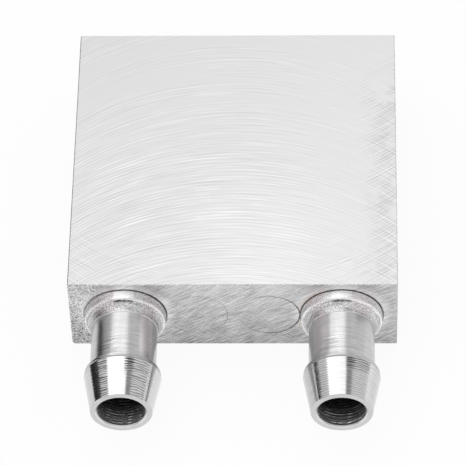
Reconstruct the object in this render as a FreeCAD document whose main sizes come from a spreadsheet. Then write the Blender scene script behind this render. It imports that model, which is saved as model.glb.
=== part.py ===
import FreeCAD, Part
import os
import Sketcher
from FreeCAD import Placement, Rotation, Vector

# Liquid cooling cold plate: a drilled aluminium block with two pressed-in hose barbs.
#
# The coolant enters at the left barb and leaves at the right one. In between it runs through four
# parallel channels that are drilled from the front face and joined in turn at the back, the front
# and the back again by cross bores, so that the path is shaped like an M. Each drilled mouth that
# has no barb in it is closed by a pressed plug, flush with its face.
#
# Frame: millimetres, +Z up. The origin is the middle of the block's underside, the face that
# rests on the heat source. The front face, with the barbs, looks along -Y, and the inlet is at -X.

# Every driving size. The block comes out 40 x 40 x 12 and the barbs stand 14.6 out of it.
DIMENSIONS = {
    # Block and channels.
    "block_depth": 40.0,         # front face to back face
    "channel_diameter": 7.0,     # the four long bores
    "channel_wall": 1.8,         # metal between two neighbouring channels
    "side_wall": 3.3,            # metal between an outer channel and the side face
    "cover_wall": 2.5,           # metal above and below the channels
    "back_wall": 5.0,            # back face to the full-width end of the channels
    "link_diameter": 6.0,        # the three cross bores
    "link_setback": 0.5,         # how far the channels run on past the back cross bores
    "drill_tip_angle": 118.0,    # point of the drills that made the blind bores
    "edge_break": 0.1,           # chamfer along the block's outer edges
    "bar_corner": 0.45,          # rounding left from the bar on the lower left long edge
    # Plugs.
    "front_plug_length": 4.0,
    "plug_step": 0.2,            # how far a plug's seat is wider than its bore, on the radius
    "plug_shoulder": 0.3,        # metal left between a side plug's seat and a barb's seat
    "plug_lead": 0.3,            # chamfer on the end that is pressed in first
    # Seat of a barb in the block.
    "seat_step": 0.5,            # how far the seat is wider than its channel, on the radius
    "seat_clearance": 0.2,       # gap left behind the spigot's end
    "link_cover": 1.5,           # metal between the front plugs and the front cross bore
    "spigot_overlap": 0.5,       # how far the spigot reaches past the front cross bore, to seal it
    "spigot_lead": 0.3,          # chamfer on the spigot's end
    # Barb, outside the block. Lengths along the axis are counted from the block's front face.
    "barb_bore": 5.8,
    "flange_lip": 1.0,           # how far the flange is wider than the spigot, on the radius
    "flange_thickness": 1.2,
    "rim_break": 0.1,            # chamfer on both edges of the flange's rim
    "neck_length": 1.25,         # hollow curve from the flange down to the shank
    "shank_reach": 9.0,          # front face to the barb's back edge
    "barb_height": 0.68,         # how far the barb stands proud of the shank, on the radius
    "land_length": 0.6,          # straight part of the barb
    "taper_length": 5.0,         # cone from the land to the tip
    "tip_wall": 0.85,            # wall of the tube at its tip
    "mouth_break": 0.2,          # chamfer inside the mouth
}

# Sizes that follow from the driving ones, as expressions on the sheet.
PITCH = "(Dims.channel_diameter + Dims.channel_wall)"
PORT_X = f"(1.5 * {PITCH})"
INNER_X = f"(0.5 * {PITCH})"
HALF_WIDTH = f"({PORT_X} + Dims.channel_diameter / 2 + Dims.side_wall)"
HALF_DEPTH = "(Dims.block_depth / 2)"
AXIS_Z = "(Dims.channel_diameter / 2 + Dims.cover_wall)"
CHANNEL_DEPTH = "(Dims.block_depth - Dims.back_wall)"
BACK_LINK_Y = f"({HALF_DEPTH} - Dims.back_wall - Dims.link_setback - Dims.link_diameter / 2)"
FRONT_LINK_INSET = "(Dims.front_plug_length + Dims.link_cover + Dims.link_diameter / 2)"
SPIGOT_LENGTH = f"({FRONT_LINK_INSET} + Dims.link_diameter / 2 + Dims.spigot_overlap)"
SEAT_DIAMETER = "(Dims.channel_diameter + 2 * Dims.seat_step)"
FRONT_PLUG_DIAMETER = "(Dims.channel_diameter + 2 * Dims.plug_step)"
SIDE_PLUG_DIAMETER = "(Dims.link_diameter + 2 * Dims.plug_step)"
SIDE_PLUG_LENGTH = "(Dims.side_wall - Dims.seat_step - Dims.plug_shoulder)"

doc = FreeCAD.newDocument("cold_plate")


def write_sheet():
    sheet = doc.addObject("Spreadsheet::Sheet", "Dims")
    for row, (alias, value) in enumerate(DIMENSIONS.items(), start=1):
        sheet.set(f"A{row}", alias)
        sheet.set(f"B{row}", str(value))
        sheet.setAlias(f"B{row}", alias)
    doc.recompute()


def new_body(label):
    body = doc.addObject("PartDesign::Body", label)
    body.Label = label
    return body


def new_sketch(body, name, role, offset=None):
    """A sketch on one of the body's origin planes, moved along its normal by an expression."""
    plane = next(item for item in body.Origin.OriginFeatures if item.Role == role)
    sketch = body.newObject("Sketcher::SketchObject", name)
    sketch.AttachmentSupport = [(plane, "")]
    sketch.MapMode = "FlatFace"
    if offset:
        sketch.setExpression("AttachmentOffset.Base.z", offset)
    doc.recompute()
    return sketch


def constrain(sketch, kind, *args, name=None, size=None):
    """Add a constraint; a size is an expression, and the constraint then stays bound to it."""
    if size:
        args += (sketch.evalExpression(size),)
    index = sketch.addConstraint(Sketcher.Constraint(kind, *args))
    if size:
        sketch.renameConstraint(index, name)
        sketch.setExpression(f"Constraints.{name}", size)


def place_point(sketch, geometry, point, name, across, up):
    """Fix a point of the sketch across and up from the sketch's origin; up is None on its axis."""
    constrain(sketch, "DistanceX", -1, 1, geometry, point, name=f"{name}_x", size=across)
    if up:
        constrain(sketch, "DistanceY", -1, 1, geometry, point, name=f"{name}_y", size=up)
    else:
        constrain(sketch, "PointOnObject", geometry, point, -1)


def circle_at(sketch, name, across, up, diameter, side=1):
    """A circle whose centre lies at side * across and up; returns its geometry index."""
    centre = Vector(side * sketch.evalExpression(across), sketch.evalExpression(up), 0)
    radius = sketch.evalExpression(diameter) / 2
    circle = sketch.addGeometry(Part.Circle(centre, Vector(0, 0, 1), radius))
    ends = (-1, 1, circle, 3) if side > 0 else (circle, 3, -1, 1)
    constrain(sketch, "DistanceX", *ends, name=f"{name}_x", size=across)
    constrain(sketch, "DistanceY", -1, 1, circle, 3, name=f"{name}_y", size=up)
    constrain(sketch, "Diameter", circle, name=f"{name}_diameter", size=diameter)
    return circle


def bind(feature, sizes):
    for prop, size in sizes.items():
        feature.setExpression(prop, size)


def drill(body, name, sketch, depth, diameter, seat_diameter, seat_depth, reverse=False):
    """Blind bores with a drill point and a wider flat-bottomed seat at the mouth."""
    before = body.Shape.Volume
    hole = body.newObject("PartDesign::Hole", name)
    hole.Profile = sketch
    doc.recompute()
    hole.Reversed = reverse
    hole.DepthType = "Dimension"
    hole.DrillPoint = "Angled"
    hole.HoleCutType = "Counterbore"
    hole.HoleCutCustomValues = True
    bind(hole, {
        "Depth": depth,
        "Diameter": diameter,
        "DrillPointAngle": "Dims.drill_tip_angle",
        "HoleCutDiameter": seat_diameter,
        "HoleCutDepth": seat_depth,
    })
    doc.recompute()
    if not hole.Shape.Volume < before:
        raise RuntimeError(f"{name} cuts nothing out of {body.Label}")


def edges_where(body, wanted):
    """Names of the edges of the body so far whose bounding box passes the test."""
    return [f"Edge{number}" for number, edge in enumerate(body.Shape.Edges, start=1)
            if wanted(edge.BoundBox)]


def chamfer(body, name, size, edges):
    solid = body.Tip
    feature = body.newObject("PartDesign::Chamfer", name)
    feature.Base = (solid, edges)
    feature.setExpression("Size", size)
    doc.recompute()


def fillet(body, name, radius, edges):
    solid = body.Tip
    feature = body.newObject("PartDesign::Fillet", name)
    feature.Base = (solid, edges)
    feature.setExpression("Radius", radius)
    doc.recompute()


def extrude(body, name, sketch, length):
    pad = body.newObject("PartDesign::Pad", name)
    pad.Profile = sketch
    pad.setExpression("Length", length)
    doc.recompute()


# The block: a length of bar with its edges broken, drilled from the front and from both sides.

def rectangle_about_origin(sketch, half_width, half_depth):
    x = sketch.evalExpression(half_width)
    y = sketch.evalExpression(half_depth)
    corners = [Vector(-x, -y, 0), Vector(x, -y, 0), Vector(x, y, 0), Vector(-x, y, 0)]
    for start, end in zip(corners, corners[1:] + corners[:1]):
        sketch.addGeometry(Part.LineSegment(start, end))
    for line in range(4):
        constrain(sketch, "Coincident", line, 2, (line + 1) % 4, 1)
    for line in (0, 2):
        constrain(sketch, "Horizontal", line)
    for line in (1, 3):
        constrain(sketch, "Vertical", line)
    constrain(sketch, "Symmetric", 0, 1, 2, 1, -1, 1)
    place_point(sketch, 2, 1, "corner", half_width, half_depth)


def front_channels(block, name, across, seat_diameter, seat_depth):
    """A pair of channels, one either side of the middle, drilled from the front face."""
    sketch = new_sketch(block, f"{name}_centres", "XZ_Plane", HALF_DEPTH)
    for side in (-1, 1):
        circle_at(sketch, "left" if side < 0 else "right", across, AXIS_Z,
                  "Dims.channel_diameter", side)
    drill(block, name, sketch, CHANNEL_DEPTH, "Dims.channel_diameter", seat_diameter, seat_depth)


def side_link(block, name, side, along, along_side, depth):
    """A cross bore drilled from the left (-1) or right (1) side face, with its plug's seat."""
    sketch = new_sketch(block, f"{name}_centre", "YZ_Plane", f"{side} * {HALF_WIDTH}")
    circle_at(sketch, "bore", along, AXIS_Z, "Dims.link_diameter", along_side)
    drill(block, name, sketch, depth, "Dims.link_diameter", SIDE_PLUG_DIAMETER, SIDE_PLUG_LENGTH,
          reverse=side < 0)


def make_block():
    block = new_body("block")
    outline = new_sketch(block, "block_outline", "XY_Plane")
    rectangle_about_origin(outline, HALF_WIDTH, HALF_DEPTH)
    extrude(block, "slab", outline, f"2 * {AXIS_Z}")
    level = outline.evalExpression(AXIS_Z)

    def on_bar_corner(box):
        return box.XMax < 0 and box.ZMax < level and box.YLength > box.XLength + box.ZLength

    fillet(block, "bar_corner", "Dims.bar_corner", edges_where(block, on_bar_corner))
    chamfer(block, "edge_breaks", "Dims.edge_break",
            edges_where(block, lambda box: not on_bar_corner(box)))

    front_channels(block, "outer_channels", PORT_X,
                   SEAT_DIAMETER, f"{SPIGOT_LENGTH} + Dims.seat_clearance")
    front_channels(block, "inner_channels", INNER_X,
                   FRONT_PLUG_DIAMETER, "Dims.front_plug_length")

    # At the back, each outer channel joins the inner one beside it. At the front, one cross bore
    # passes the right outer channel's seat, where the spigot seals it, and joins the inner two.
    to_near_channel = f"{HALF_WIDTH} - {INNER_X}"
    to_far_channel = f"{HALF_WIDTH} + {INNER_X}"
    side_link(block, "left_back_link", -1, BACK_LINK_Y, 1, to_near_channel)
    side_link(block, "right_back_link", 1, BACK_LINK_Y, 1, to_near_channel)
    side_link(block, "front_link", 1, f"{HALF_DEPTH} - {FRONT_LINK_INSET}", -1, to_far_channel)
    return block


# A barb: one turned piece. Its profile is drawn in the plane of its own axis, with the radius
# across and the distance from the spigot's inner end upwards.

def barb_corners():
    """Name, radius and distance of each corner, from the inner end round to the bore."""
    bore = "Dims.barb_bore / 2"
    tube = f"{SEAT_DIAMETER} / 2"
    flange = f"{tube} + Dims.flange_lip"
    land = f"{tube} + Dims.barb_height"
    face = SPIGOT_LENGTH
    neck = f"{face} + Dims.flange_thickness"
    back_edge = f"{face} + Dims.shank_reach"
    land_end = f"{back_edge} + Dims.land_length"
    mouth = f"{land_end} + Dims.taper_length"
    return [
        ("inner_end", bore, None),
        ("spigot_end", f"{tube} - Dims.spigot_lead", None),
        ("spigot_start", tube, "Dims.spigot_lead"),
        ("spigot_root", tube, face),
        ("flange_back", f"{flange} - Dims.rim_break", face),
        ("rim_back", flange, f"{face} + Dims.rim_break"),
        ("rim_front", flange, f"{neck} - Dims.rim_break"),
        ("neck_start", f"{flange} - Dims.rim_break", neck),
        ("neck_end", tube, f"{neck} + Dims.neck_length"),
        ("shank_end", tube, back_edge),
        ("land_back", land, back_edge),
        ("land_front", land, land_end),
        ("tip", f"{bore} + Dims.tip_wall", mouth),
        ("mouth", f"{bore} + Dims.mouth_break", mouth),
        ("bore_end", bore, f"{mouth} - Dims.mouth_break"),
    ]


def hollow_arc(start, end):
    """An arc that meets the vertical line above end smoothly; it runs from end back to start."""
    rise = start.x - end.x
    length = end.y - start.y
    radius = (rise ** 2 + length ** 2) / (2 * rise)
    middle = Vector(end.x + radius, end.y, 0)
    circle = Part.Circle(middle, Vector(0, 0, 1), radius)
    return Part.ArcOfCircle(circle, circle.parameter(end), circle.parameter(start))


def draw_barb_profile(sketch):
    corners = barb_corners()
    points = []
    for name, across, up in corners:
        height = sketch.evalExpression(up) if up else 0
        points.append(Vector(sketch.evalExpression(across), height, 0))
    neck = [name for name, across, up in corners].index("neck_start")
    for number, start in enumerate(points):
        end = points[(number + 1) % len(points)]
        edge = hollow_arc(start, end) if number == neck else Part.LineSegment(start, end)
        sketch.addGeometry(edge)
    for number, (name, across, up) in enumerate(corners):
        following = (number + 1) % len(corners)
        if number == neck:
            constrain(sketch, "Tangent", neck, 1, following, 1)
            place_point(sketch, neck, 2, name, across, up)
        else:
            constrain(sketch, "Coincident", number, 2, following, 2 if following == neck else 1)
            place_point(sketch, number, 1, name, across, up)


def make_barb(label, side):
    barb = new_body(label)
    profile = new_sketch(barb, f"{label}_profile", "XZ_Plane")
    draw_barb_profile(profile)
    turned = barb.newObject("PartDesign::Revolution", f"{label}_turned")
    turned.Profile = profile
    turned.ReferenceAxis = (profile, ["V_Axis"])
    turned.Angle = 360
    seat(barb, FRONT, f"{side} * {PORT_X}", f"{SPIGOT_LENGTH} - {HALF_DEPTH}")
    return barb


# A plug: a short disc with a lead-in chamfer, flush with the face that it is pressed into.

def make_plug(label, diameter, length, outward, x, y):
    plug = new_body(label)
    outline = new_sketch(plug, f"{label}_outline", "XY_Plane")
    circle = outline.addGeometry(Part.Circle(Vector(), Vector(0, 0, 1), 1))
    constrain(outline, "Coincident", circle, 3, -1, 1)
    constrain(outline, "Diameter", circle, name="diameter", size=diameter)
    extrude(plug, f"{label}_disc", outline, length)
    chamfer(plug, f"{label}_lead", "Dims.plug_lead",
            edges_where(plug, lambda box: box.ZMax < 1e-6))
    seat(plug, outward, x, y)
    return plug


FRONT = Vector(0, -1, 0)
LEFT = Vector(-1, 0, 0)
RIGHT = Vector(1, 0, 0)


def seat(body, outward, x, y):
    """Turn the body's own +Z to face outward and set its inner end at x, y on the channels' level."""
    body.Placement = Placement(Vector(), Rotation(Vector(0, 0, 1), outward))
    bind(body, {"Placement.Base.x": x, "Placement.Base.y": y, "Placement.Base.z": AXIS_Z})


def make_plugs():
    front_y = f"Dims.front_plug_length - {HALF_DEPTH}"
    side_x = f"({HALF_WIDTH} - {SIDE_PLUG_LENGTH})"
    front_link_y = f"{FRONT_LINK_INSET} - {HALF_DEPTH}"
    front = (FRONT_PLUG_DIAMETER, "Dims.front_plug_length", FRONT)
    left = (SIDE_PLUG_DIAMETER, SIDE_PLUG_LENGTH, LEFT)
    right = (SIDE_PLUG_DIAMETER, SIDE_PLUG_LENGTH, RIGHT)
    return [
        make_plug("front_plug_left", *front, f"-1 * {INNER_X}", front_y),
        make_plug("front_plug_right", *front, INNER_X, front_y),
        make_plug("back_link_plug_left", *left, f"-1 * {side_x}", BACK_LINK_Y),
        make_plug("back_link_plug_right", *right, side_x, BACK_LINK_Y),
        make_plug("front_link_plug", *right, side_x, front_link_y),
    ]


def check_document():
    doc.recompute()
    for item in doc.Objects:
        if "Invalid" in item.State or "Error" in item.State:
            raise RuntimeError(f"{item.Label} failed: {item.State}")


def export(pieces):
    for piece in pieces:
        shape = piece.Shape
        if shape.isNull() or not shape.isValid() or len(shape.Solids) != 1:
            raise RuntimeError(f"{piece.Label} isn't one valid solid")
    os.makedirs("parts", exist_ok=True)
    for piece in pieces:
        piece.Shape.exportStep(f"parts/{piece.Label}.step")
        print(f"{piece.Label}: {piece.Shape.Volume:.1f} mm3")


write_sheet()
pieces = [make_block(), make_barb("inlet_barb", -1), make_barb("outlet_barb", 1)] + make_plugs()
check_document()
export(pieces)
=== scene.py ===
import bpy
import math
from mathutils import Matrix, Vector
from mathutils.noise import noise as noise_at


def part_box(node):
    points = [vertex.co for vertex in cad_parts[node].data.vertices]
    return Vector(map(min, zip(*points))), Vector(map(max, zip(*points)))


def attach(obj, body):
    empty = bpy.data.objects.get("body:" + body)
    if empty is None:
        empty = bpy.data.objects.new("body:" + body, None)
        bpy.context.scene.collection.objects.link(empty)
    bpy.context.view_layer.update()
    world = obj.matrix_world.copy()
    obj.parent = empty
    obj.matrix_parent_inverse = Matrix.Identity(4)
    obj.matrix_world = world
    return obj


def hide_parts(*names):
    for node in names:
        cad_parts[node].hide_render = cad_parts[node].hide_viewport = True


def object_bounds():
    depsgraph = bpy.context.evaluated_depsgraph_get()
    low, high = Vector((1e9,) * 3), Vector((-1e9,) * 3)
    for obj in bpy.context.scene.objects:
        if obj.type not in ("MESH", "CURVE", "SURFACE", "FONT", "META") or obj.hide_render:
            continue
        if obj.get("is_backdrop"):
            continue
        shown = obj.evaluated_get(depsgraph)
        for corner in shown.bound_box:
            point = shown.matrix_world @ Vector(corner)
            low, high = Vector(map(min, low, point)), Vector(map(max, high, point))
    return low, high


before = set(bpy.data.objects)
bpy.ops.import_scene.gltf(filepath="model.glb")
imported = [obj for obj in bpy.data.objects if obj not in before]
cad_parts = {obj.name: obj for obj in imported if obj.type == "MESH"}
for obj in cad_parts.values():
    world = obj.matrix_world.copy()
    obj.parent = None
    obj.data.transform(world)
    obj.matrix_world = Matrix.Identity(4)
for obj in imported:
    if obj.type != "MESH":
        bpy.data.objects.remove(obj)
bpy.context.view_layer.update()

# Shapes are in metres and finishes in millimetres, both in the frame of the cold plate: +Z up,
# the barbs along -Y.
MM = 0.001

# Sizes of a barb. Lengths along the axis are counted outwards from the block's front face.
BORE_RADIUS = 2.9 * MM
TUBE_RADIUS = 4.0 * MM
FLANGE_RADIUS = 5.0 * MM
LAND_RADIUS = 4.68 * MM
TIP_RADIUS = 3.75 * MM
SPIGOT_LEAD = 0.3 * MM
FLANGE_THICKNESS = 1.2 * MM
RIM_BREAK = 0.1 * MM
RIM_FALL = 0.07 * MM
NECK_LENGTH = 1.25 * MM
NECK_STEP = 0.07 * MM
SHANK_REACH = 9.0 * MM
LAND_LENGTH = 0.6 * MM
TIP_REACH = 14.6 * MM
EDGE_ROUNDING = 0.06 * MM
MOUTH_BREAK = 0.2 * MM

# The marks of turning.
LAND_FALL = 0.09 * MM
LAND_BURR = 0.02 * MM
LAND_SCORE = 0.018 * MM
MARK_DEPTH = 0.008 * MM
MARK_CHANGE = (1.2, 1.7)   # millimetres past the land where the cone's marks change depth
RIDGE_PITCH = 0.40 * MM
RIDGE_DEPTH = 0.035 * MM
RIDGE_CREST = 0.72         # how far along its pitch a ridge is deepest
CHATTER_RADIUS = 3.0       # the circle, in millimetres, on which a ridge's unevenness is read
CHATTER_SCALE = 1.3        # how quickly that unevenness changes

# How finely a barb is drawn.
NECK_STEPS = 14
SHANK_STEPS = 12
TAPER_STEPS = 150
BARB_SEGMENTS = 224
SHARP_ANGLE = math.radians(25)

CUTTER_WAVE = 12.6         # radians of the fly cutter's wave in each millimetre

FLOOR_HALF_WIDTH = 1.5
FLOOR_GAP = 0.02 * MM
FLOOR_TONE = 0.96
FLOOR_GLOW = 0.92          # share of plain white where the floor is seen or mirrored
WALL_SPAN = 120.0          # degrees to each side of straight up that the walls' tones cover


# ---------------------------------------------------------------- camera and stage

CAMERA_AZIMUTH = math.radians(2.667)
CAMERA_ELEVATION = math.radians(51.965)
CAMERA_ROLL = math.radians(-2.179)
CAMERA_DISTANCE = 452.0 * MM
CAMERA_TARGET = Vector((-0.26, -7.34, 6.0)) * MM
LENS_MM = 281.24
SENSOR_MM = 36.0


def set_camera():
    data = bpy.data.cameras.new("studio_camera")
    data.lens = LENS_MM
    data.sensor_width = SENSOR_MM
    data.clip_start = 0.01
    data.clip_end = 100.0
    camera = bpy.data.objects.new("studio_camera", data)
    bpy.context.scene.collection.objects.link(camera)
    flat = math.cos(CAMERA_ELEVATION)
    back = Vector((math.sin(CAMERA_AZIMUTH) * flat, -math.cos(CAMERA_AZIMUTH) * flat,
                   math.sin(CAMERA_ELEVATION)))
    right = Vector((math.cos(CAMERA_AZIMUTH), math.sin(CAMERA_AZIMUTH), 0.0))
    up = back.cross(right)
    turn = Matrix((right, up, back)).transposed() @ Matrix.Rotation(CAMERA_ROLL, 3, "Z")
    place = CAMERA_TARGET + back * CAMERA_DISTANCE
    camera.matrix_world = Matrix.Translation(place) @ turn.to_4x4()
    bpy.context.scene.camera = camera


# ---------------------------------------------------------------- shader helpers

def node(tree, kind, inputs=None, **settings):
    made = tree.nodes.new(kind)
    for name, value in settings.items():
        setattr(made, name, value)
    for key, value in (inputs or {}).items():
        feed(tree, made.inputs[key], value)
    return made


def feed(tree, socket, value):
    if isinstance(value, bpy.types.NodeSocket):
        tree.links.new(value, socket)
    else:
        socket.default_value = value


def maths(tree, operation, first, second=0.0, third=0.0, clamp=False):
    made = tree.nodes.new("ShaderNodeMath")
    made.operation = operation
    made.use_clamp = clamp
    for socket, value in zip(made.inputs, (first, second, third)):
        feed(tree, socket, value)
    return made.outputs[0]


def product(tree, first, *others):
    for other in others:
        first = maths(tree, "MULTIPLY", first, other)
    return first


def largest(tree, first, *others):
    for other in others:
        first = maths(tree, "MAXIMUM", first, other)
    return first


def rest_of(tree, share):
    return maths(tree, "SUBTRACT", 1.0, share)


def off_middle(tree, value):
    """How far a value that runs from 0 to 1 lies above or below its middle."""
    return maths(tree, "SUBTRACT", value, 0.5)


def ramp_between(tree, value, low, high):
    """0 at low, 1 at high, with a soft start and end; low may be the larger."""
    made = node(tree, "ShaderNodeMapRange", {"Value": value}, interpolation_type="SMOOTHSTEP")
    made.inputs["From Min"].default_value = low
    made.inputs["From Max"].default_value = high
    return made.outputs["Result"]


def mixed(tree, factor, first, second):
    """A mix of two values."""
    made = tree.nodes.new("ShaderNodeMix")
    feed(tree, made.inputs[0], factor)
    feed(tree, made.inputs[2], first)
    feed(tree, made.inputs[3], second)
    return made.outputs[0]


def mixed_colour(tree, factor, first, second):
    made = tree.nodes.new("ShaderNodeMix")
    made.data_type = "RGBA"
    feed(tree, made.inputs[0], factor)
    feed(tree, made.inputs[6], first)
    feed(tree, made.inputs[7], second)
    return made.outputs[2]


def parts_of(tree, vector):
    made = node(tree, "ShaderNodeSeparateXYZ", {"Vector": vector})
    return made.outputs[0], made.outputs[1], made.outputs[2]


def vector_of(tree, x, y, z=0.0):
    return node(tree, "ShaderNodeCombineXYZ", {"X": x, "Y": y, "Z": z}).outputs[0]


def noise(tree, vector, scale, detail, roughness):
    made = node(tree, "ShaderNodeTexNoise", {"Vector": vector, "Scale": scale, "Detail": detail,
                                             "Roughness": roughness})
    return made.outputs[0]


def grey(level):
    return (level, level, level, 1.0)


# ---------------------------------------------------------------- floor, lamps and world

def make_floor():
    half = FLOOR_HALF_WIDTH
    mesh = bpy.data.meshes.new("floor")
    mesh.from_pydata([(-half, -half, 0), (half, -half, 0), (half, half, 0), (-half, half, 0)], [],
                     [(0, 1, 2, 3)])
    floor = bpy.data.objects.new("floor", mesh)
    floor.location.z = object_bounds()[0][2] - FLOOR_GAP
    bpy.context.scene.collection.objects.link(floor)
    material = bpy.data.materials.new("pale_floor")
    material.use_nodes = True
    tree = material.node_tree
    tree.nodes.clear()
    path = tree.nodes.new("ShaderNodeLightPath")
    seen = largest(tree, *(path.outputs[ray] for ray in ("Is Camera Ray", "Is Glossy Ray",
                                                         "Is Transmission Ray")))
    matt = node(tree, "ShaderNodeBsdfDiffuse", {"Color": grey(FLOOR_TONE)})
    white = node(tree, "ShaderNodeEmission", {"Color": grey(1.0), "Strength": 1.0})
    blend = node(tree, "ShaderNodeMixShader",
                 {0: product(tree, seen, FLOOR_GLOW), 1: matt.outputs[0], 2: white.outputs[0]})
    node(tree, "ShaderNodeOutputMaterial", {"Surface": blend.outputs[0]})
    mesh.materials.append(material)
    floor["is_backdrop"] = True


def add_softbox(name, height, left, right, near, far, watts):
    """A flat lamp that hangs level over the table and shines down."""
    data = bpy.data.lights.new(name, "AREA")
    data.shape = "RECTANGLE"
    data.size = right - left
    data.size_y = far - near
    data.energy = watts
    lamp = bpy.data.objects.new(name, data)
    lamp.location = ((left + right) / 2, (near + far) / 2, height)
    lamp.visible_camera = False
    bpy.context.scene.collection.objects.link(lamp)


def add_flag(name, place, foot, outline):
    """A low black card on the table, cut to an outline of (y, z) points, with a narrow foot. It
    only shows as a dark band in what shines."""
    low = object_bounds()[0][2]
    points = [(place, y, low + z) for y, z in outline]
    near, far = points[0][1], points[-1][1]
    points += [(foot, near, low), (foot, far, low)]
    count = len(outline)
    mesh = bpy.data.meshes.new(name)
    mesh.from_pydata(points, [], [tuple(range(count)), (0, count - 1, count + 1, count)])
    material = bpy.data.materials.new("black_card")
    material.use_nodes = True
    shader = material.node_tree.nodes["Principled BSDF"]
    shader.inputs["Base Color"].default_value = grey(0.02)
    shader.inputs["Roughness"].default_value = 0.9
    mesh.materials.append(material)
    card = bpy.data.objects.new(name, mesh)
    bpy.context.scene.collection.objects.link(card)
    card.visible_camera = False
    card.visible_diffuse = False
    card.visible_shadow = False
    card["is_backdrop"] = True


def make_world():
    """Grey studio walls round the table. Their tones go by the angle from straight up, towards
    the right."""
    world = bpy.data.worlds.new("studio")
    bpy.context.scene.world = world
    world.use_nodes = True
    tree = world.node_tree
    tree.nodes.clear()
    direction = tree.nodes.new("ShaderNodeTexCoord").outputs["Generated"]
    x, y, z = parts_of(tree, direction)
    lean = maths(tree, "DEGREES", maths(tree, "ARCTAN2", x, z))
    turn = maths(tree, "DIVIDE", maths(tree, "ADD", lean, WALL_SPAN), 2 * WALL_SPAN)
    low_stops = [(-94, 0.50), (-66, 0.76), (-42, 0.80), (12, 0.20), (29, 0.26), (33, 0.76),
                 (77, 0.76), (85, 0.95), (93, 0.95)]
    high_stops = [(-94, 0.50), (-66, 0.52), (-40, 0.60), (12, 0.66), (29, 0.80), (33, 0.84),
                  (80, 0.85), (85, 0.95), (93, 0.95)]
    bands = []
    for stops in (low_stops, high_stops):
        walls = node(tree, "ShaderNodeValToRGB", {"Fac": turn})
        elements = walls.color_ramp.elements
        while len(elements) < len(stops):
            elements.new(0.5)
        for element, (angle, level) in zip(elements, stops):
            element.position = (angle + WALL_SPAN) / (2 * WALL_SPAN)
            element.color = grey(level)
        bands.append(walls.outputs["Color"])
    # Behind the table the walls grow brighter with distance; the front of the room is bright.
    depth = ramp_between(tree, y, 0.12, 0.66)
    walls_behind = mixed_colour(tree, depth, bands[0], bands[1])
    front = ramp_between(tree, y, 0.02, -0.5)
    front_level = mixed(tree, ramp_between(tree, z, 0.15, 0.5), 0.75, 0.88)
    level = mixed(tree, front, node(tree, "ShaderNodeRGBToBW", {0: walls_behind}).outputs[0],
                  front_level)
    path = tree.nodes.new("ShaderNodeLightPath")
    below = ramp_between(tree, z, 0.0, -0.01)
    mirrored = largest(tree, path.outputs["Is Glossy Ray"], path.outputs["Is Transmission Ray"])
    seen = largest(tree, path.outputs["Is Camera Ray"], product(tree, mirrored, below))
    shade = node(tree, "ShaderNodeBackground",
                 {"Color": grey(1.0), "Strength": mixed(tree, seen, level, 1.0)})
    node(tree, "ShaderNodeOutputWorld", {"Surface": shade.outputs[0]})


# ---------------------------------------------------------------- finishes used more than once

def new_group(name, inputs, outputs):
    """A group of nodes that takes and gives plain values: inputs by name with what they are
    when left alone, outputs by name."""
    group = bpy.data.node_groups.new(name, "ShaderNodeTree")
    for label, default in inputs.items():
        socket = group.interface.new_socket(label, in_out="INPUT", socket_type="NodeSocketFloat")
        socket.default_value = default
    for label in outputs:
        group.interface.new_socket(label, in_out="OUTPUT", socket_type="NodeSocketFloat")
    return group, group.nodes.new("NodeGroupInput").outputs, group.nodes.new("NodeGroupOutput")


def use_group(tree, group, inputs):
    made = tree.nodes.new("ShaderNodeGroup")
    made.node_tree = group
    for key, value in inputs.items():
        feed(tree, made.inputs[key], value)
    return made.outputs


def make_sanded_grain():
    """Crisp straight scratches, most along one slope, on a plane of two coordinates in mm."""
    group, given, result = new_group(
        "Sanded Grain",
        {"Across": 0.0, "Up": 0.0, "Slope": 0.6, "Fineness": 5.0, "Length": 6.0, "Seed": 0.0},
        ["Grain"])
    # Each layer has its turn from the main slope, its share and its own part of the noise.
    total = None
    for turn, share, offset in ((0.0, 1.0, 0.0), (-0.14, 1.0, 11.0), (0.20, 0.7, 17.0),
                                (-1.15, 0.45, 23.0)):
        slope = maths(group, "ADD", given["Slope"], turn)
        cosine = maths(group, "COSINE", slope)
        sine = maths(group, "SINE", slope)
        run = maths(group, "ADD", product(group, given["Across"], cosine),
                    product(group, given["Up"], sine))
        rise = maths(group, "SUBTRACT", product(group, given["Up"], cosine),
                     product(group, given["Across"], sine))
        drawn = vector_of(group, maths(group, "DIVIDE", run, given["Length"]), rise,
                          maths(group, "ADD", given["Seed"], offset))
        lines = noise(group, drawn, given["Fineness"], 1.0, 0.5)
        raised = ramp_between(group, lines, 0.54, 0.66)
        cut = ramp_between(group, lines, 0.46, 0.34)
        layer = product(group, maths(group, "SUBTRACT", raised, cut), share)
        total = layer if total is None else maths(group, "ADD", total, layer)
    feed(group, result.inputs["Grain"], maths(group, "MULTIPLY_ADD", total, 0.34, 0.5, clamp=True))
    return group


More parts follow.
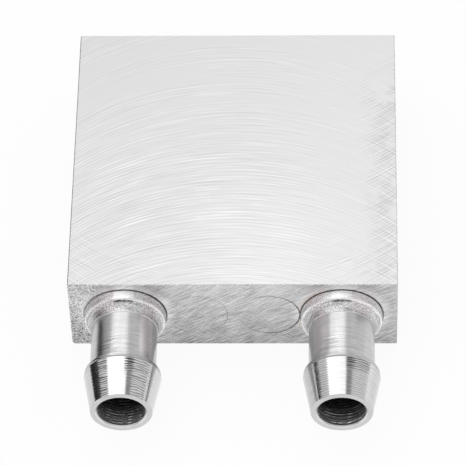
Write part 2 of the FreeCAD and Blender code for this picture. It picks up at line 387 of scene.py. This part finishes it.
def make_fly_cut_arcs():
    """Arcs left by a wide fly cutter: thin lines in bunches, crossed where it also cut behind."""
    group, given, result = new_group(
        "Fly Cut Arcs",
        {"Across": 0.0, "Along": 0.0, "Sweep": 32.0, "Seed": 0.0},
        ["Lines", "Glints", "Crossed"])
    across, along, sweep = given["Across"], given["Along"], given["Sweep"]
    root = maths(group, "SQRT", maths(group, "SUBTRACT", product(group, sweep, sweep),
                                      product(group, across, across)))
    leading = maths(group, "SUBTRACT", along, root)
    trailing = maths(group, "ADD", along, root)
    spot = vector_of(group, across, along, given["Seed"])

    def lines_along(place, pitch, wander, offset):
        drawn = vector_of(group, place, product(group, across, wander),
                          maths(group, "ADD", given["Seed"], offset))
        return noise(group, drawn, pitch, 1.0, 0.6)

    def feed_lines(place, offset):
        """Lines one feed of the cutter apart, some deeper than others."""
        drift = lines_along(place, 0.8, 0.02, offset)
        wave = maths(group, "SINE", maths(group, "MULTIPLY_ADD", place, CUTTER_WAVE,
                                          product(group, drift, 9.0)))
        depth = ramp_between(group, lines_along(place, 2.6, 0.05, offset + 3.0), 0.36, 0.66)
        loose = off_middle(group, lines_along(place, 6.0, 0.03, offset + 6.0))
        return maths(group, "MULTIPLY_ADD", product(group, wave, depth), 0.17,
                     product(group, loose, 0.55))

    # The lines of the cutter's leading edge come in bunches, and are weaker at the right and back.
    bunch = ramp_between(group, lines_along(leading, 0.34, 0.05, 9.0), 0.30, 0.62)
    worn = ramp_between(group, noise(group, spot, 0.20, 2.0, 0.6), 0.25, 0.55)
    near = ramp_between(group, along, 14.0, -8.0)
    edge = ramp_between(group, across, 14.0, 0.0)
    strength = product(group, mixed(group, near, bunch, 1.0),
                       product(group, mixed(group, 0.55, 1.0, worn),
                               mixed(group, near, 0.55, 1.0)),
                       mixed(group, edge, 0.35, 1.0))
    # Its trailing edge crosses them at the right side and in the two front corners.
    right_side = product(group, ramp_between(group, across, 14.0, 18.5),
                         ramp_between(group, along, 17.0, 10.0))
    corner = product(group, ramp_between(group, along, -9.0, -18.0),
                     ramp_between(group, maths(group, "ABSOLUTE", across), 7.0, 17.0))
    patchy = ramp_between(group, noise(group, spot, 0.30, 2.0, 0.6), 0.35, 0.60)
    share = product(group, largest(group, right_side, corner), patchy)
    strength = largest(group, strength, product(group, right_side, patchy))
    cross = product(group, feed_lines(trailing, 17.0), 1.3)
    total = maths(group, "ADD", product(group, feed_lines(leading, 0.0), strength),
                  product(group, cross, share))
    # Thin bright lines, used as painted highlight glints.
    glint = ramp_between(group, lines_along(leading, 4.2, 0.030, 51.0), 0.62, 0.70)
    feed(group, result.inputs["Lines"], maths(group, "MULTIPLY_ADD", total, 2.4, 0.5, clamp=True))
    feed(group, result.inputs["Glints"], product(group, glint, strength))
    feed(group, result.inputs["Crossed"], share)
    return group


def make_seam_ring():
    """A hairline round a pressed-in piece, seen on a plane of two coordinates in mm. It can fade
    on one side; round the flanges it is partly painted shade in the gap.
    """
    group, given, result = new_group(
        "Seam Ring",
        {"Across": 0.0, "Up": 0.0, "Centre Across": 0.0, "Centre Up": 6.0, "Radius": 3.7,
         "Width": 0.05, "Strong Side": 0.0, "Fade": 0.0},
        ["Seam", "Distance"])
    across = maths(group, "SUBTRACT", given["Across"], given["Centre Across"])
    up = maths(group, "SUBTRACT", given["Up"], given["Centre Up"])
    distance = node(group, "ShaderNodeVectorMath", {0: vector_of(group, across, up)},
                    operation="LENGTH").outputs["Value"]
    off = maths(group, "SUBTRACT", distance, given["Radius"])
    worn = noise(group, vector_of(group, across, up), 2.5, 2.0, 0.6)
    width = product(group, given["Width"], maths(group, "MULTIPLY_ADD", worn, 1.6, 0.2))
    inside = maths(group, "SUBTRACT", 1.0,
                   maths(group, "DIVIDE", maths(group, "ABSOLUTE", off), width), clamp=True)
    angle = maths(group, "ARCTAN2", across, up)
    facing = maths(group, "COSINE", maths(group, "SUBTRACT", angle, given["Strong Side"]))
    faded = product(group, given["Fade"], maths(group, "MULTIPLY_ADD", facing, -0.5, 0.5))
    strength = maths(group, "SUBTRACT", 1.0, faded, clamp=True)
    feed(group, result.inputs["Seam"], product(group, maths(group, "SQRT", inside), strength))
    feed(group, result.inputs["Distance"], off)
    return group


def make_turned_rings():
    """Rings left by a lathe tool, by distance along the axis in mm and the angle round it."""
    group, given, result = new_group(
        "Turned Rings",
        {"Out": 0.0, "Turn": 0.0, "Pitch": 0.3, "Break Up": 0.3, "Seed": 0.0},
        ["Rings", "Feed"])
    wobble = product(group, maths(group, "SINE", given["Turn"]), given["Break Up"])
    sway = product(group, maths(group, "COSINE", given["Turn"]), given["Break Up"])
    spot = maths(group, "ADD", sway, given["Seed"])
    drawn = vector_of(group, maths(group, "DIVIDE", given["Out"], given["Pitch"]), wobble, spot)
    rings = off_middle(group, noise(group, drawn, 1.0, 3.0, 0.7))
    feed(group, result.inputs["Rings"], maths(group, "MULTIPLY_ADD", rings, 2.2, 0.5, clamp=True))
    # The even rings of the tool's feed, which drift a little along the axis and round it.
    drift = noise(group, vector_of(group, product(group, given["Out"], 0.9), wobble, spot), 1.0,
                  2.0, 0.6)
    phase = maths(group, "MULTIPLY_ADD", drift, 12.0,
                  maths(group, "DIVIDE", product(group, given["Out"], 6.283), given["Pitch"]))
    feed(group, result.inputs["Feed"],
         maths(group, "MULTIPLY_ADD", maths(group, "SINE", phase), 0.5, 0.5))
    return group


# ---------------------------------------------------------------- finishes

# Places on the block in millimetres, as its finishes read them.
BLOCK_HEIGHT = 12.0
HALF_HEIGHT = BLOCK_HEIGHT / 2
BARB_ACROSS = 13.2
FLANGE_SEAM_RADIUS = 5.03
FRONT_PLUG_ACROSS = 4.4
FRONT_PLUG_RADIUS = 3.7
SIDE_PLUG_ALONG = 11.5
SIDE_PLUG_RADIUS = 3.2
CUTTER_SWEEP = 32.0

SANDED_ROUGHNESS = 0.42
FLY_CUT_ROUGHNESS = 0.24
SEAM_AND_SHADE_TONE = 0.01

# Seams of the plugs, and rings round the flanges that are partly seam and partly painted shade in
# the gap, on the front face: centre across, radius, width, the angle from straight up where each
# shows best, and how much it fades on the other side.
PLUG_SEAMS = ((-FRONT_PLUG_ACROSS, FRONT_PLUG_RADIUS, 0.03, 1.9, 1.0),
              (FRONT_PLUG_ACROSS, FRONT_PLUG_RADIUS, 0.11, 1.9, 1.0))
FLANGE_SEAMS_AND_SHADE = ((-BARB_ACROSS, FLANGE_SEAM_RADIUS, 0.15, 0.9, 0.60),
                (BARB_ACROSS, FLANGE_SEAM_RADIUS, 0.15, 0.4, 0.30))

# Distances out along a barb in millimetres, where one of its forms ends and the next begins.
RIM_OUT = FLANGE_THICKNESS / MM
NECK_OUT = (FLANGE_THICKNESS + NECK_LENGTH) / MM
LAND_OUT = SHANK_REACH / MM
CONE_OUT = (SHANK_REACH + LAND_LENGTH) / MM
TIP_OUT = TIP_REACH / MM


def new_material(name):
    material = bpy.data.materials.new(name)
    material.use_nodes = True
    tree = material.node_tree
    tree.nodes.clear()
    shader = tree.nodes.new("ShaderNodeBsdfPrincipled")
    shader.inputs["Metallic"].default_value = 1.0
    node(tree, "ShaderNodeOutputMaterial", {"Surface": shader.outputs[0]})
    return material, tree, shader


def object_millimetres(tree):
    place = tree.nodes.new("ShaderNodeTexCoord").outputs["Object"]
    return node(tree, "ShaderNodeVectorMath", {0: place, "Scale": 1 / MM},
                operation="SCALE").outputs[0]


def face_masks(tree):
    """Masks of the top and underside, and of the left and right faces."""
    normal = tree.nodes.new("ShaderNodeTexCoord").outputs["Normal"]
    rightward, _, upward = parts_of(tree, normal)
    level = ramp_between(tree, maths(tree, "ABSOLUTE", upward), 0.80, 0.95)
    sideways = ramp_between(tree, maths(tree, "ABSOLUTE", rightward), 0.60, 0.75)
    return level, sideways


def tinted(tree, tone, red, green, blue):
    """A colour from a tone, by the share of it that each of the three keeps."""
    return vector_of(tree, *(product(tree, tone, share) for share in (red, green, blue)))


def raise_marks(tree, shader, height, strength, depth):
    bump = node(tree, "ShaderNodeBump", {"Height": height, "Strength": strength,
                                         "Distance": depth})
    feed(tree, shader.inputs["Normal"], bump.outputs[0])


def upright_finish(tree, groups, x, y, z, sideways):
    """The sanded upright faces: their tone with the seams, painted shade and painted light in it,
    their grain, a mask of the front face, and the distance from the seam of the right flange."""
    across = mixed(tree, sideways, x, y)
    long_strokes = use_group(tree, groups["grain"],
                             {"Across": across, "Up": z, "Slope": 0.60, "Fineness": 9.0,
                              "Length": 26.0})["Grain"]
    short_strokes = use_group(tree, groups["grain"],
                              {"Across": across, "Up": z, "Slope": 0.75, "Fineness": 9.5,
                               "Length": 2.0, "Seed": 40.0})["Grain"]
    blotch = noise(tree, vector_of(tree, across, z, 3.0), 0.16, 2.0, 0.6)
    # One end of each face is rubbed rough, in short strokes.
    rough_end = ramp_between(tree, across, -13.5, -17.5)
    grain = mixed(tree, maths(tree, "MULTIPLY_ADD", rough_end, 0.65, 0.25), long_strokes,
                  short_strokes)
    climb = maths(tree, "DIVIDE", z, BLOCK_HEIGHT)
    tone = product(tree, off_middle(tree, grain),
                   maths(tree, "MULTIPLY_ADD", rough_end, 0.30, 0.60))
    # Painted shade: the faces are darker towards the bottom, near the floor.
    tone = maths(tree, "MULTIPLY_ADD", climb, 0.22, tone)
    tone = maths(tree, "MULTIPLY_ADD", blotch, 0.14, tone)
    tone = maths(tree, "ADD", tone, 0.345)

    def seam_ring(along, centre, radius, width, side, fade):
        return use_group(tree, groups["seam"],
                         {"Across": along, "Up": z, "Centre Across": centre,
                          "Centre Up": HALF_HEIGHT, "Radius": radius, "Width": width,
                          "Strong Side": side, "Fade": fade})

    plugs = [seam_ring(x, *sizes) for sizes in PLUG_SEAMS]
    flanges = [seam_ring(x, *sizes) for sizes in FLANGE_SEAMS_AND_SHADE]
    # The rings round the flanges in this mask are partly seam and partly painted shade in the gap.
    seam = largest(tree, *(ring["Seam"] for ring in plugs + flanges))
    front = product(tree, ramp_between(tree, y, -19.0, -19.4), rest_of(tree, sideways))
    seam = product(tree, seam, front)
    # The face is painted paler round the two flanges, most near the top: painted light that lifts
    # the shade beside them.
    beside = [ramp_between(tree, ring["Distance"], 1.5, 0.1) for ring in flanges]
    painted_light_round_flanges = product(tree, largest(tree, *beside), front)
    tone = maths(tree, "MULTIPLY_ADD", product(tree, painted_light_round_flanges, climb), 0.36, tone)
    # Faint rings round the plugs of the cross bores, two on the right face and one on the left.
    for centre, share in ((SIDE_PLUG_ALONG, 1.0),
                          (-SIDE_PLUG_ALONG, ramp_between(tree, x, 0.0, 1.0))):
        ring = seam_ring(y, centre, SIDE_PLUG_RADIUS, 0.11, 2.2, 0.7)
        seam = largest(tree, seam, product(tree, ring["Seam"], sideways, share))
    # Seams, with the painted shade round the flanges, are painted near black.
    tone = mixed(tree, seam, tone, SEAM_AND_SHADE_TONE)
    return tone, grain, front, flanges[-1]["Distance"]


def make_block_material(groups):
    material, tree, shader = new_material("milled_block")
    x, y, z = parts_of(tree, object_millimetres(tree))
    level_face, sideways = face_masks(tree)
    arcs = use_group(tree, groups["arcs"], {"Across": x, "Along": y, "Sweep": CUTTER_SWEEP})
    tone, grain, front, from_flange = upright_finish(tree, groups, x, y, z, sideways)

    # The top and the underside: cutter lines with painted highlight glints, worn near the right
    # edge, and painted light that makes them brighter at the front and towards the right.
    top_tone = maths(tree, "MULTIPLY_ADD", arcs["Lines"], 0.155, 0.439)
    worn_edge = product(tree, ramp_between(tree, x, 13.0, 19.0), arcs["Crossed"])
    off_highlight_centre = maths(tree, "ABSOLUTE", maths(tree, "SUBTRACT", x, 3.0))
    painted_highlight_patch = product(tree, ramp_between(tree, y, 0.0, -13.0),
                           ramp_between(tree, off_highlight_centre, 12.0, 2.0))
    # Painted highlight: the glints, the patch at the front and the rise towards the front and
    # right.
    for change, share in ((arcs["Glints"], 0.09), (worn_edge, -0.055), (painted_highlight_patch, 0.03),
                          (x, 0.0010), (y, -0.0008)):
        top_tone = maths(tree, "MULTIPLY_ADD", change, share, top_tone)
    tone = mixed(tree, level_face, tone, top_tone)

    # A brown stain on the front face, along the left side of the right flange.
    round_flange = maths(tree, "ARCTAN2", maths(tree, "SUBTRACT", x, BARB_ACROSS),
                         maths(tree, "SUBTRACT", z, HALF_HEIGHT))
    stain = product(tree, ramp_between(tree, from_flange, 0.95, 0.05),
                    ramp_between(tree, round_flange, -0.15, -0.55), front,
                    ramp_between(tree, from_flange, -0.6, -0.2))
    metal = tinted(tree, tone, 1.0, 1.0, 1.01)
    brown = tinted(tree, tone, 0.93, 0.84, 0.76)
    feed(tree, shader.inputs["Base Color"],
         mixed_colour(tree, product(tree, stain, 0.7), metal, brown))
    feed(tree, shader.inputs["Roughness"],
         mixed(tree, level_face, SANDED_ROUGHNESS, FLY_CUT_ROUGHNESS))
    raise_marks(tree, shader, mixed(tree, level_face, grain, arcs["Lines"]), 0.15, 0.012 * MM)
    return material


def make_plug_material(groups):
    """A plug is sanded with the face it lies in, so it takes that face's finish, its painted shade
    included.
    """
    material, tree, shader = new_material("sanded_plug")
    x, y, z = parts_of(tree, object_millimetres(tree))
    sideways = face_masks(tree)[1]
    tone, grain = upright_finish(tree, groups, x, y, z, sideways)[:2]
    feed(tree, shader.inputs["Base Color"], vector_of(tree, tone, tone, tone))
    shader.inputs["Roughness"].default_value = SANDED_ROUGHNESS
    raise_marks(tree, shader, grain, 0.15, 0.012 * MM)
    return material


def make_barb_material(name, groups, seed, rim_tone, cone_tone, scuff_and_painted_edge, blush_angles, painted_lift, chatter,
                       cone_lines):
    """Turned metal. The barb's own Y axis is its axis and its origin lies in the block's face.
    Angles round the barb are in radians from straight up, towards the right."""
    material, tree, shader = new_material(name)
    place = object_millimetres(tree)
    x, y, z = parts_of(tree, place)
    out = maths(tree, "MULTIPLY", y, -1.0)
    turn = maths(tree, "ARCTAN2", x, z)
    radius = node(tree, "ShaderNodeVectorMath", {0: vector_of(tree, x, z)},
                  operation="LENGTH").outputs["Value"]

    def rings_at(pitch, break_up, offset, kind="Rings"):
        return use_group(tree, groups["rings"],
                         {"Out": out, "Turn": turn, "Pitch": pitch, "Break Up": break_up,
                          "Seed": seed + offset})[kind]

    def strip(angle, low, high):
        """A strip along the barb that faces an angle; low and high are cosines beside it."""
        off = maths(tree, "SUBTRACT", turn, angle)
        return ramp_between(tree, maths(tree, "COSINE", off), low, high)

    coarse = rings_at(0.26, 0.5, 0.0)
    fine = rings_at(0.14, 1.6, 5.0)
    both = mixed(tree, 0.5, coarse, fine)
    speckle = maths(tree, "MULTIPLY_ADD", off_middle(tree, noise(tree, place, 7.5, 1.0, 0.5)), 4.2,
                    0.5, clamp=True)
    streak = noise(tree, vector_of(tree, product(tree, turn, 5.0), product(tree, out, 0.12), seed),
                   1.0, 2.0, 0.5)

    # Masks of the barb's forms.
    outside = ramp_between(tree, radius, 3.2, 3.5)
    neck = product(tree, ramp_between(tree, out, NECK_OUT + 0.05, NECK_OUT - 0.03), outside)
    step = product(tree, neck, ramp_between(tree, out, NECK_OUT - 0.05, NECK_OUT - 0.01))
    rim = product(tree, neck, ramp_between(tree, out, RIM_OUT + 0.10, RIM_OUT + 0.04))
    # The upper right of the rim's edge, for a painted highlight.
    rim_edge_highlight = product(tree, rim, strip(0.65, 0.75, 0.95),
                       ramp_between(tree, out, RIM_OUT - 0.12, RIM_OUT - 0.06))
    # The corner in front of the rim's top, for painted shade.
    corner = product(tree, ramp_between(tree, out, RIM_OUT + 0.02, RIM_OUT + 0.07),
                     ramp_between(tree, out, RIM_OUT + 0.26, RIM_OUT + 0.14),
                     strip(0.0, 0.955, 0.985))
    land = product(tree, ramp_between(tree, out, LAND_OUT - 0.01, LAND_OUT), outside)
    cone = product(tree, ramp_between(tree, out, CONE_OUT + 0.02, CONE_OUT + 0.08), outside)
    tip = ramp_between(tree, out, TIP_OUT - 0.10, TIP_OUT - 0.02)
    tip_ring = product(tree, tip, ramp_between(tree, radius, 3.14, 3.06))
    bore = product(tree, ramp_between(tree, radius, 3.15, 2.98),
                   ramp_between(tree, out, TIP_OUT - 0.14, TIP_OUT - 0.22))

    # Rings show most on the outer half of the shank, where a hose has rubbed it.
    rubbed_above = mixed(tree, strip(-0.50, 0.90, 0.97), 0.45, 1.0)
    rubbed = product(tree, ramp_between(tree, out, 5.2, 6.4),
                     mixed(tree, strip(0.0, 0.55, 0.80), 0.15, rubbed_above))
    rings = mixed(tree, rubbed, mixed(tree, 0.45, 0.5, fine), both)
    rings = mixed(tree, neck, rings, mixed(tree, 0.5, fine, speckle))
    rings = mixed(tree, cone, rings, both)

    # The tone of the shank, the neck, the rim and the ring round the mouth. Painted highlights lie
    # on the top of the rim, on its edge at the upper right and on the upper side of the neck's
    # step, and painted shade in the corner in front of the rim's top.
    tone = maths(tree, "MULTIPLY_ADD", off_middle(tree, streak), 0.16, 0.56)
    rim_top_highlight = mixed(tree, strip(0.0, 0.955, 0.985), rim_tone, 0.96)
    for mask, level in ((neck, 0.62), (rim, rim_top_highlight), (land, 0.50), (rim_edge_highlight, 0.95),
                        (product(tree, step, strip(-0.1, 0.75, 0.95)), 0.90), (tip, 0.62),
                        (tip_ring, 0.95), (corner, 0.20)):
        tone = mixed(tree, mask, tone, level)
    swing = mixed(tree, neck, mixed(tree, rubbed, 0.36, 0.85), 0.85)
    swing = mixed(tree, tip, swing, 0.10)
    tone = maths(tree, "MULTIPLY_ADD", swing, off_middle(tree, rings), tone)

    # The cone is bright; where it is scuffed it is rougher, and short dark strokes are painted
    # round it in strips by angle: painted reflection of the ragged edges of the bright band.
    comb = rings_at(0.29, 1.6, 20.0, "Feed")
    strokes = ramp_between(tree, mixed(tree, 0.60, comb, fine), 0.36, 0.66)
    dull_strip = product(tree, strip(0.245, 0.985, 0.995), ramp_between(tree, out, 12.6, 10.4))
    # Painted reflection: the strips by angle where the bright band's edges are painted ragged.
    scuffs_and_painted_edges = largest(tree, strip(-0.56, 0.972, 0.990),
                      product(tree, strip(0.50, 0.940, 0.956), 0.8),
                      product(tree, dull_strip, 1.2))
    near_land = product(tree, ramp_between(tree, out, 11.3, 10.9),
                        ramp_between(tree, turn, 0.0, 0.2))
    marks_and_painted_edges = product(tree, strokes, scuffs_and_painted_edges, mixed(tree, near_land, scuff_and_painted_edge, 0.82))
    bright = maths(tree, "SUBTRACT", cone_tone, product(tree, marks_and_painted_edges, cone_tone))
    bright = maths(tree, "MULTIPLY_ADD", off_middle(tree, fine), cone_lines, bright)
    # Painted shade: the cone's flanks are darker, the left one more, for the darker floor they
    # mirror.
    sine = maths(tree, "DIVIDE", x, radius)
    flank_shade = maths(tree, "ADD", product(tree, ramp_between(tree, sine, -0.76, -0.86), 0.17),
                   product(tree, ramp_between(tree, sine, 0.76, 0.92), 0.09))
    bright = maths(tree, "SUBTRACT", bright, flank_shade)
    tone = mixed(tree, product(tree, cone, rest_of(tree, tip)), tone, bright)

    # The bore is painted dark inside as painted shade, and grows paler towards its mouth.
    near_mouth = ramp_between(tree, out, 10.9, 14.3)
    flecks = product(tree, ramp_between(tree, noise(tree, place, 8.0, 1.0, 0.5), 0.52, 0.62),
                     near_mouth, ramp_between(tree, x, -1.2, 0.8))
    inner_arcs = ramp_between(tree, rings_at(0.17, 0.3, 9.0), 0.45, 0.70)
    inner = product(tree, inner_arcs, mixed(tree, near_mouth, 0.10, 0.85 - 0.65 * chatter))
    inner = maths(tree, "MULTIPLY_ADD", flecks, 0.55 * chatter, inner)
    inner = maths(tree, "MULTIPLY_ADD", near_mouth, 0.22 + 0.20 * chatter, inner)
    tone = mixed(tree, bore, tone, maths(tree, "ADD", inner, 0.08))

    # A pinkish tint along one strip of the shank and one of the neck.
    shank_angle, neck_angle = blush_angles
    shank_blush = product(tree, strip(shank_angle, 0.950, 0.988),
                          ramp_between(tree, out, 9.0, 7.0))
    neck_blush = product(tree, neck, strip(neck_angle, 0.90, 0.98))
    blush = product(tree, largest(tree, shank_blush, neck_blush), rest_of(tree, tip))
    # Painted light: the shank's strip, on the side facing the other barb, is made lighter.
    tone = maths(tree, "MULTIPLY_ADD", product(tree, shank_blush, rest_of(tree, neck)), painted_lift, tone)
    feed(tree, shader.inputs["Base Color"],
         mixed_colour(tree, blush, vector_of(tree, tone, tone, tone),
                      tinted(tree, tone, 1.0, 0.935, 0.965)))
    rough = mixed(tree, cone, 0.26, maths(tree, "MULTIPLY_ADD", marks_and_painted_edges, 0.42, 0.10))
    rough = mixed(tree, neck, rough, 0.44)
    feed(tree, shader.inputs["Roughness"], mixed(tree, bore, rough, 0.48))
    raise_marks(tree, shader, rings, 0.4, 0.02 * MM)
    return material


# ---------------------------------------------------------------- barbs

def arc(centre, radius, start, end, steps):
    """Points (radius from the axis, distance out) along an arc, angles in degrees."""
    points = []
    for step in range(steps + 1):
        angle = math.radians(start + (end - start) * step / steps)
        points.append((centre[0] + radius * math.cos(angle), centre[1] + radius * math.sin(angle)))
    return points


def straight(start, end, steps):
    """Points after start, up to and with end."""
    return [(start[0] + (end[0] - start[0]) * step / steps,
             start[1] + (end[1] - start[1]) * step / steps) for step in range(1, steps + 1)]


def outer_profile(spigot_end, tip, marks):
    """Marks are the depths of the tool marks beside the land and on the rest of the taper."""
    rim_front = FLANGE_RADIUS - RIM_FALL
    rise = rim_front - RIM_BREAK - TUBE_RADIUS - NECK_STEP
    neck_radius = (rise ** 2 + NECK_LENGTH ** 2) / (2 * rise)
    neck_end = FLANGE_THICKNESS + NECK_LENGTH
    start_angle = 180 + math.degrees(math.asin(NECK_LENGTH / neck_radius))
    points = [(TUBE_RADIUS - SPIGOT_LEAD, spigot_end), (TUBE_RADIUS, spigot_end + SPIGOT_LEAD),
              (TUBE_RADIUS, 0.0), (FLANGE_RADIUS - RIM_BREAK, 0.0),
              (FLANGE_RADIUS, RIM_BREAK), (rim_front, FLANGE_THICKNESS - RIM_BREAK)]
    points += arc((TUBE_RADIUS + NECK_STEP + neck_radius, neck_end), neck_radius, start_angle, 180,
                  NECK_STEPS)
    points += [(TUBE_RADIUS, neck_end + NECK_STEP)]
    points += straight(points[-1], (TUBE_RADIUS, SHANK_REACH), SHANK_STEPS)

    # The land falls a little towards its back edge, which has a burr, and is scored once.
    crest = LAND_RADIUS - LAND_FALL
    slope = LAND_FALL / LAND_LENGTH
    for along, off in ((0.0, -EDGE_ROUNDING), (0.05, LAND_BURR), (0.16, 0.0), (0.29, 0.0),
                       (0.36, -LAND_SCORE), (0.43, 0.0), (0.60, 0.0)):
        points.append((crest + slope * along * MM + off, SHANK_REACH + along * MM))
    land_end = SHANK_REACH + LAND_LENGTH
    length = tip - EDGE_ROUNDING - land_end
    for step in range(1, TAPER_STEPS + 1):
        part = step / TAPER_STEPS
        out = part * length / MM
        share = min(max((out - MARK_CHANGE[0]) / (MARK_CHANGE[1] - MARK_CHANGE[0]), 0.0), 1.0)
        depth = MARK_DEPTH * (marks[0] + (marks[1] - marks[0]) * share)
        # Coarse marks with finer ones among them.
        mark = (noise_at(Vector((out * 3.6, 2.0, marks[1]))) +
                0.5 * noise_at(Vector((out * 7.9, 8.0, marks[1]))) - 0.8) * 0.5
        radius = LAND_RADIUS + (TIP_RADIUS - LAND_RADIUS) * part
        points.append((radius + depth * mark, land_end + part * length))
    points += [(TIP_RADIUS - EDGE_ROUNDING, tip)]
    return points


def bore_profile(spigot_end, tip):
    """Points from the mouth inwards, each with its share of the ridge's height."""
    mouth = tip - MOUTH_BREAK
    points = [(BORE_RADIUS + MOUTH_BREAK, tip, 0.0), (BORE_RADIUS, mouth, 0.0)]
    count = int((mouth - spigot_end) / RIDGE_PITCH)
    for turn in range(count):
        base = mouth - turn * RIDGE_PITCH
        points += [(BORE_RADIUS, base - RIDGE_PITCH * RIDGE_CREST, 1.0),
                   (BORE_RADIUS, base - RIDGE_PITCH, 0.0)]
    points.append((BORE_RADIUS, spigot_end, 0.0))
    return points


def make_barb(name, material, chatter, marks):
    """One turned piece. Chatter makes the ridges in its bore uneven."""
    low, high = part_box(name)
    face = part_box("block")[0][1]
    profile = [(radius, out, 0.0) for radius, out in
               outer_profile(face - high[1], face - low[1], marks)]
    profile += bore_profile(face - high[1], face - low[1])
    vertices = []
    for step in range(BARB_SEGMENTS):
        angle = math.tau * step / BARB_SEGMENTS
        for radius, out, share in profile:
            if share:
                spot = Vector((CHATTER_RADIUS * math.sin(angle), CHATTER_RADIUS * math.cos(angle),
                               out / MM))
                uneven = 1.0 + chatter * noise_at(spot * CHATTER_SCALE)
                radius += RIDGE_DEPTH * share * max(uneven, 0.0)
            vertices.append((radius * math.sin(angle), -out, radius * math.cos(angle)))
    faces = []
    count = len(profile)
    for step in range(BARB_SEGMENTS):
        here = step * count
        there = (step + 1) % BARB_SEGMENTS * count
        for point in range(count):
            after = (point + 1) % count
            faces.append((here + point, here + after, there + after, there + point))
    mesh = bpy.data.meshes.new(f"{name}_turned")
    mesh.from_pydata(vertices, [], faces)
    mesh.materials.append(material)
    for polygon in mesh.polygons:
        polygon.use_smooth = True
    mesh.set_sharp_from_angle(angle=SHARP_ANGLE)
    barb = bpy.data.objects.new(f"{name}_turned", mesh)
    barb.location = ((low[0] + high[0]) / 2, face, (low[2] + high[2]) / 2)
    bpy.context.scene.collection.objects.link(barb)
    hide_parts(name)
    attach(barb, "root")


def dress(node_name, material):
    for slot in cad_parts[node_name].material_slots:
        slot.material = material


set_camera()
make_floor()
make_world()
add_softbox("overhead_softbox", height=1.0, left=-0.91, right=0.245, near=-0.25, far=1.20,
            watts=5.15)
add_flag("black_flag", place=-0.058, foot=-0.050,
         outline=((-0.038, 0.0), (-0.038, 0.023), (-0.012, 0.024), (-0.008, 0.033),
                  (0.000, 0.033), (0.006, 0.0165), (0.080, 0.013), (0.080, 0.0)))
bpy.context.scene.view_settings.view_transform = "Standard"

groups = {"grain": make_sanded_grain(), "arcs": make_fly_cut_arcs(), "seam": make_seam_ring(),
          "rings": make_turned_rings()}
dress("block", make_block_material(groups))
plug_material = make_plug_material(groups)
for plug in ("front_plug_left", "front_plug_right", "back_link_plug_left", "back_link_plug_right",
             "front_link_plug"):
    dress(plug, plug_material)
inlet_metal = make_barb_material("turned_inlet", groups, seed=0.0, rim_tone=0.74, cone_tone=0.77,
                                 scuff_and_painted_edge=0.78, blush_angles=(0.80, -0.55), painted_lift=0.26,
                                 chatter=1.0, cone_lines=0.10)
outlet_metal = make_barb_material("turned_outlet", groups, seed=31.0, rim_tone=0.84,
                                  cone_tone=0.71, scuff_and_painted_edge=0.32, blush_angles=(-0.72, 0.60),
                                  painted_lift=0.22, chatter=0.2, cone_lines=0.22)
make_barb("inlet_barb", inlet_metal, chatter=0.6, marks=(2.0, 2.0))
make_barb("outlet_barb", outlet_metal, chatter=0.5, marks=(2.2, 1.0))
